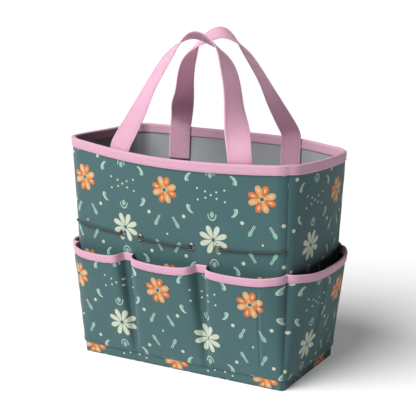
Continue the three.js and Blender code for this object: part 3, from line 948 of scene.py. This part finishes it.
rim_rows = []
for out, sign in ((RIM_TAPE_OUT, 1), (RIM_TAPE_IN, -1)):
    row = [rim_place(side, t, RIM_STITCH_DROP, out) for side, t in RIM_COLUMNS]
    facing = [outward(side, t, BAG_HEIGHT) * sign for side, t in RIM_COLUMNS]
    rim_rows.append((np.array(row + row[:1]), np.array(facing + facing[:1])))
settle(stitches("rim_stitching", rim_rows, PINK_THREAD), "binding")


def pocket_place(side, t, drop, out):
    height = pocket_top(side, t) + drop
    return wall_point(side, t, height, pocket_standoff(side, t, height) + out)


POCKET_TAPE_OUT = POCKET_CLOTH + POCKET_BINDING_GAP + TAPE
POCKET_STITCH_DROP = 2.4 - POCKET_BINDING_HEIGHT
HEM_STITCH_OUT = POCKET_CLOTH + HEM_ROLL + 0.05
DIVIDER_STITCH_OUT = POCKET_CLOTH + 0.05
pocket_outlines = u_profile(POCKET_TAPE_OUT, -POCKET_BINDING_GAP - TAPE, POCKET_BINDING_HEIGHT)

for number, side in enumerate(SIDES):
    dividers = POCKETS[side]["dividers"][1:-1]
    settle(pocket_cloth(side, POCKET_SEED + number), "body_cloth", f"{side}_pocket_panel")
    t = stations(side, around=dividers)
    columns = [(side, place) for place in t]
    tape = bound_edge(f"{side}_pocket_tape", columns, pocket_outlines, pocket_place, ring=False)
    settle(tape, "binding", f"{side}_pocket_binding")
    tape_row = pocket_place(side, t, POCKET_STITCH_DROP, POCKET_TAPE_OUT), outward(side, t, POCKET_TOP)
    settle(stitches(f"{side}_pocket_tape_stitching", [tape_row], PINK_THREAD), "binding")
    stitch_height = POCKET_HEM + HEM_STITCH_RISE
    hem = pocket_standoff(side, t, stitch_height) + HEM_STITCH_OUT
    rows = [(wall_point(side, t, stitch_height, hem), outward(side, t, POCKET_HEM))]
    heights = np.linspace(POCKET_HEM + 6, POCKET_TOP - POCKET_BINDING_HEIGHT, 40)
    for divider in dividers:
        seam = pocket_standoff(side, divider, heights) + DIVIDER_STITCH_OUT
        rows.append((wall_point(side, divider, heights, seam), outward(side, divider, heights)))
    settle(stitches(f"{side}_pocket_stitching", rows, TEAL_THREAD), "body_cloth")


# ---- eyelets and elastic cord ----

def eyelet_frame(x, z):
    """Place, direction along the wall and outward direction of an eyelet."""
    t = x / seam_reach("front", z)
    along = unit(wall_point("front", t + 0.01, z, 0) - wall_point("front", t - 0.01, z, 0))
    up = unit(wall_point("front", t, z + 1, 0) - wall_point("front", t, z - 1, 0))
    return wall_point("front", t, z, 0), along, up, unit(np.cross(along, up))


EYELET_FRAMES = [eyelet_frame(*place) for place in EYELETS.values()]
# A rolled flange in front, a barrel through the cloth and a flat washer behind, as (radius, out)
EYELET_PROFILE = (
    (3.2, 0.9), (3.35, 1.4), (3.8, 1.68), (4.4, 1.72), (5.1, 1.55), (5.8, 1.15), (6.3, 0.6), (6.4, 0.35),
    (6.1, 0.3), (4.0, 0.3), (4.0, -4.7), (6.2, -4.7), (6.4, -4.85), (6.4, -5.3), (6.1, -5.5), (4.0, -5.6),
    (3.3, -5.5), (3.2, -5.2),
)
EYELET_SEGMENTS = 56


def eyelet(name, eyelet_place):
    centre, along, up, out = eyelet_place
    points = []
    for k in range(EYELET_SEGMENTS):
        angle = 2 * math.pi * k / EYELET_SEGMENTS
        spoke = along * math.cos(angle) + up * math.sin(angle)
        points.append([centre + spoke * radius + out * away for radius, away in EYELET_PROFILE])
    u, v = np.mgrid[:EYELET_SEGMENTS + 1, :len(EYELET_PROFILE)]
    return sweep(name, np.array(points), u, v, GUNMETAL, ring=True)


for node, eyelet_place in zip(EYELETS, EYELET_FRAMES):
    settle(eyelet(f"{node}_ring", eyelet_place), "eyelet_metal", node)

# The cord's way in through an eyelet, as (along the wall, out)
CORD_TURN = ((-7, 3.5), (-2.6, 3.3), (-0.5, 1.5), (0, -2), (0.5, -5.2), (2.6, -7.3), (7, -7.4))


def turn_through(eyelet_place, inwards):
    centre, along, _, out = eyelet_place
    turn = CORD_TURN if inwards else tuple((-a, o) for a, o in CORD_TURN[::-1])
    return [centre + along * a + out * o for a, o in turn]


def span(start, finish):
    """Points of a free span between two places (t, height), laid on the wall."""
    points = []
    for share in (0.14, 0.38, 0.62, 0.86):
        z = lerp(start[1], finish[1], share) - CORD_SAG * 4 * share * (1 - share)
        points.append(wall_point("front", lerp(start[0], finish[0], share), z, CORD_SPAN_OUT))
    return points


def elastic_cord():
    first, second, third, fourth = [(x / seam_reach("front", z), z) for x, z in EYELETS.values()]
    left, right = (-CORD_REACH, CORD_END_HEIGHTS[0]), (CORD_REACH, CORD_END_HEIGHTS[1])
    # At both ends it goes into the corner seam.
    path = [
        wall_point("front", -1, left[1], -0.4), wall_point("front", -0.996, left[1], 1.3),
        wall_point("front", *left, CORD_SPAN_OUT), *span(left, first),
        *turn_through(EYELET_FRAMES[0], True), *turn_through(EYELET_FRAMES[1], False), *span(second, third),
        *turn_through(EYELET_FRAMES[2], True), *turn_through(EYELET_FRAMES[3], False), *span(fourth, right),
        wall_point("front", *right, CORD_SPAN_OUT), wall_point("front", 0.996, right[1], 1.3),
        wall_point("front", 1, right[1], -0.4),
    ]
    return tube("cord", curve_through(path, 1.2), CORD_RADIUS, BRAID)


settle(elastic_cord(), "elastic", "elastic_cord")


# ---- strap handles ----

STRAP_STEP = 3.0
STRAP_SMOOTHING = 14
STITCH_INSET = 4
# The crossed box of stitches on a sewn end, as lengths from the strap's end
BOX_START = 6
BOX_FINISH = 42
# The bend at the rim, from below to above the hinge line
HINGE_T = STRAP_SPACING / 2 / seam_reach("front", HINGE_HEIGHT)
HINGE_Y = wall_point("front", HINGE_T, HINGE_HEIGHT, STRAP_MIDDLE)[1]


def strap_twist(u):
    """How far the strap has turned out of the loop's plane, from 0 at its ends to 1 at the top."""
    climb = 1 - np.abs(2 * u - 1)
    low = LOW_TWIST["share"] * smooth(climb / LOW_TWIST["until"])
    top = TOP_TWIST["share"] * smooth((climb - TOP_TWIST["from"]) / (1 - TOP_TWIST["from"]))
    return low + EVEN_TWIST * climb + top


def about_z(vectors, angle):
    c, s = np.cos(angle)[:, None], np.sin(angle)[:, None]
    x, y, z = vectors[:, :1], vectors[:, 1:2], vectors[:, 2:]
    return np.concatenate([c * x - s * y, s * x + c * y, z], 1)


def about_x(vectors, angle):
    c, s = math.cos(angle), math.sin(angle)
    return vectors @ np.array([[1, 0, 0], [0, c, s], [0, -s, c]])


def strap_frames():
    """Middle line of the front strap from sewn end to sewn end, and its direction across."""
    line = curve_through([(x, 0, rise) for x, rise in HANDLE_OUTLINE])
    line[:, 1] += math.tan(HANDLE_TOP_YAW) * line[:, 0] * np.maximum(0, line[:, 2] / HANDLE_TOP_RISE) ** 3
    run = length_along(line)
    even = np.linspace(0, run[-1], int(run[-1] / STRAP_STEP) + 1)
    line = sample(run, even, line)
    u = even / run[-1]
    tangent = unit(np.gradient(line, axis=0))
    twist = math.pi / 2 * strap_twist(u)
    across = unit(np.stack([tangent[:, 2], 0 * u, -tangent[:, 0]], -1)) * np.cos(twist)[:, None]
    across = across + np.array([0, -1, 0]) * np.sin(twist)[:, None]
    across = about_z(across, HANDLE_TOP_YAW * smooth(line[:, 2] / HANDLE_YAW_RISE))
    across = unit(across - tangent * np.sum(across * tangent, 1, keepdims=True))
    line, across = about_x(line, -HANDLE_LEAN), about_x(across, -HANDLE_LEAN)
    heights = np.arange(STRAP_END_BOTTOM, HINGE_HEIGHT - 1, STRAP_STEP)
    line = line + np.array([0, HINGE_Y, HINGE_HEIGHT])
    ends = {}
    for sign in (-1, 1):
        t = (STRAP_SHIFT + sign * STRAP_SPACING / 2) / seam_reach("front", heights)
        sewn = wall_point("front", t, heights, STRAP_MIDDLE)
        level = unit(wall_point("front", t + 0.01, heights, 0) - wall_point("front", t - 0.01, heights, 0))
        ends[sign] = (sewn, level * -sign)
    line = np.concatenate([ends[-1][0], line, ends[1][0][::-1]])
    across = np.concatenate([ends[-1][1], across, ends[1][1][::-1]])
    for _ in range(STRAP_SMOOTHING):
        line[1:-1] = (line[:-2] + 2 * line[1:-1] + line[2:]) / 4
        across[1:-1] = unit((across[:-2] + 2 * across[1:-1] + across[2:]) / 4)
    return line, across


STRAP_LINE, STRAP_ACROSS = strap_frames()
STRAP_THROUGH = unit(np.cross(unit(np.gradient(STRAP_LINE, axis=0)), STRAP_ACROSS))
STRAP_RUN = length_along(STRAP_LINE)


def strap_surface(run, offset, face):
    """Points of the front strap's surface: run along it, offset across, and face 1 outside or -1 inside."""
    known = (STRAP_LINE, STRAP_ACROSS, STRAP_THROUGH)
    line, across, through = [sample(STRAP_RUN, run, rows) for rows in known]
    return line + across * offset[:, None] - through * face * (STRAP_THICKNESS / 2), through * -face


def strap(name, quarter_turns):
    """One continuous strap: both sewn ends and the free loop between them."""
    # Shares of the half width, and of the thickness there, which dips under the stitching
    share = np.array([0, 0.36, 0.72, 0.79, 0.86, 0.94, 0.985, 1])
    full = np.array([1.05, 1.04, 1, 0.9, 1, 0.9, 0.62, 0.3])
    offsets = np.concatenate([-share[:0:-1], share]) * STRAP_WIDTH / 2
    thickness = np.concatenate([full[:0:-1], full]) * STRAP_THICKNESS / 2
    middle = STRAP_LINE[:, None] + STRAP_ACROSS[:, None] * offsets[None, :, None]
    lift = STRAP_THROUGH[:, None] * thickness[None, :, None]
    outer, inner = turned(middle - lift, quarter_turns), turned(middle + lift, quarter_turns)
    u = np.repeat(STRAP_RUN[:, None], len(offsets), 1)
    v = np.repeat(offsets[None, :], len(STRAP_RUN), 0)
    return sheet(name, outer, inner, ROUND_EDGE, u, v, STRAP_CLOTH)


def strap_stitching(name, quarter_turns):
    """Rows along both edges on both faces, and a crossed box on each sewn end."""
    rows = []
    edge = STRAP_WIDTH / 2 - STITCH_INSET
    full = np.linspace(STITCH_INSET, STRAP_RUN[-1] - STITCH_INSET, len(STRAP_RUN))
    for face in (-1, 1):
        for side in (-edge, edge):
            rows.append(strap_surface(full, np.full_like(full, side), face))
    share = np.linspace(0, 1, 14)
    end = STRAP_RUN[-1]
    for low, high in ((BOX_START, BOX_FINISH), (end - BOX_START, end - BOX_FINISH)):
        for start, finish in ((low, low), (high, high), (low, high), (high, low)):
            rows.append(strap_surface(lerp(start, finish, share), lerp(-edge, edge, share), -1))
    rows = [(turned(path, quarter_turns), turned(facing, quarter_turns)) for path, facing in rows]
    return stitches(name, rows, PINK_THREAD)


def bend_at_rim(thing):
    """Bakes the strap's placement into its mesh. Its shape already follows the bag below its hinge line and
    its loop above it.
    """
    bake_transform(thing)


for side in ("front", "back"):
    turns = QUARTER_TURNS[side]
    loop = strap(f"{side}_strap", turns)
    bend_at_rim(loop)
    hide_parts(f"{side}_handle", f"{side}_strap_end_left", f"{side}_strap_end_right")
    seams = strap_stitching(f"{side}_strap_stitching", turns)
    bend_at_rim(seams)


# ---- the frame's pieces that stay: the boards inside the cloth ----

for node in ("base_board", *(f"{side}_stiffener" for side in SIDES)):
    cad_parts[node].data.materials.clear()
    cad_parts[node].data.materials.append(BOARD)


# ---- floor, light and camera ----

FLOOR_HALF_SIZE = 40
FLOOR_DROP = 0.0006
FLOOR_TONE = (0.76, 0.76, 0.76, 1.0)
FLOOR_GLOW = 0.2  # lifts the shadow on the floor


def floor():
    corners = [(x * FLOOR_HALF_SIZE, y * FLOOR_HALF_SIZE, 0) for x, y in ((-1, -1), (1, -1), (1, 1), (-1, 1))]
    mesh = bpy.data.meshes.new("floor")
    mesh.from_pydata(corners, [], [(0, 1, 2, 3)])
    paper = Cloth("pale_floor", 0.75)
    grain = paper.noise(3, 3)
    tone = paper.shade(FLOOR_TONE, grain * 0.02 + 0.98)
    set_inputs(paper.shader, {"Emission Color": (1.0, 1.0, 1.0, 1.0), "Emission Strength": FLOOR_GLOW})
    mesh.materials.append(paper.finish(tone, grain, 0.05, 0.1))
    thing = bpy.data.objects.new("floor", mesh)
    thing.location.z = -FLOOR_DROP
    bpy.context.scene.collection.objects.link(thing)


SHADED_SIDE = (1, -0.1, 0.25)
SHADE_FROM = 0.05  # cosines of the angle from the shaded side
SHADE_FULL = 0.65
SHADED_SKY = 0.04
PALE_SKY = 1.5
KEY_PLACE = (-1.1, -2.3, 2.7)
KEY_STRENGTH = 4.9
KEY_SPREAD = math.radians(50)


def world_light():
    """A pale sky all round, with a dark screen on the right."""
    world = bpy.data.worlds.new("studio")
    world.use_nodes = True
    tree = world.node_tree
    sky = tree.nodes["Background"]
    place = tree.nodes.new("ShaderNodeTexCoord")
    toward = tree.nodes.new("ShaderNodeVectorMath")
    toward.operation = "DOT_PRODUCT"
    toward.inputs[1].default_value = Vector(SHADED_SIDE).normalized()
    tree.links.new(place.outputs["Generated"], toward.inputs[0])
    ramp = tree.nodes.new("ShaderNodeMapRange")
    ramp.interpolation_type = "SMOOTHSTEP"
    set_inputs(ramp, {"From Min": SHADE_FROM, "From Max": SHADE_FULL})
    set_inputs(ramp, {"To Min": PALE_SKY, "To Max": SHADED_SKY})
    tree.links.new(toward.outputs["Value"], ramp.inputs["Value"])
    tree.links.new(ramp.outputs[0], sky.inputs["Strength"])
    bpy.context.scene.world = world


def key_light():
    light = bpy.data.lights.new("key", "SUN")
    light.energy = KEY_STRENGTH
    light.angle = KEY_SPREAD
    thing = bpy.data.objects.new("key", light)
    thing.location = KEY_PLACE
    thing.rotation_euler = (-Vector(KEY_PLACE)).to_track_quat("-Z", "Y").to_euler()
    bpy.context.scene.collection.objects.link(thing)


CAMERA_AZIMUTH = math.radians(29.4)
CAMERA_ELEVATION = math.radians(13.8)
CAMERA_DISTANCE = 1.903
CAMERA_TARGET = Vector((0, 0, 0.245))
CAMERA_LENS = 101.8
CAMERA_SHIFT = 0.0024


def camera():
    back = Vector((math.sin(CAMERA_AZIMUTH) * math.cos(CAMERA_ELEVATION),
                   -math.cos(CAMERA_AZIMUTH) * math.cos(CAMERA_ELEVATION), math.sin(CAMERA_ELEVATION)))
    data = bpy.data.cameras.new("camera")
    data.lens = CAMERA_LENS
    data.sensor_width = 36
    data.shift_y = CAMERA_SHIFT
    data.clip_end = 200
    thing = bpy.data.objects.new("camera", data)
    thing.location = CAMERA_TARGET + back * CAMERA_DISTANCE
    thing.rotation_euler = back.to_track_quat("Z", "Y").to_euler()
    bpy.context.scene.collection.objects.link(thing)
    bpy.context.scene.camera = thing


floor()
world_light()
key_light()
camera()
bpy.context.scene.view_settings.view_transform = "Standard"
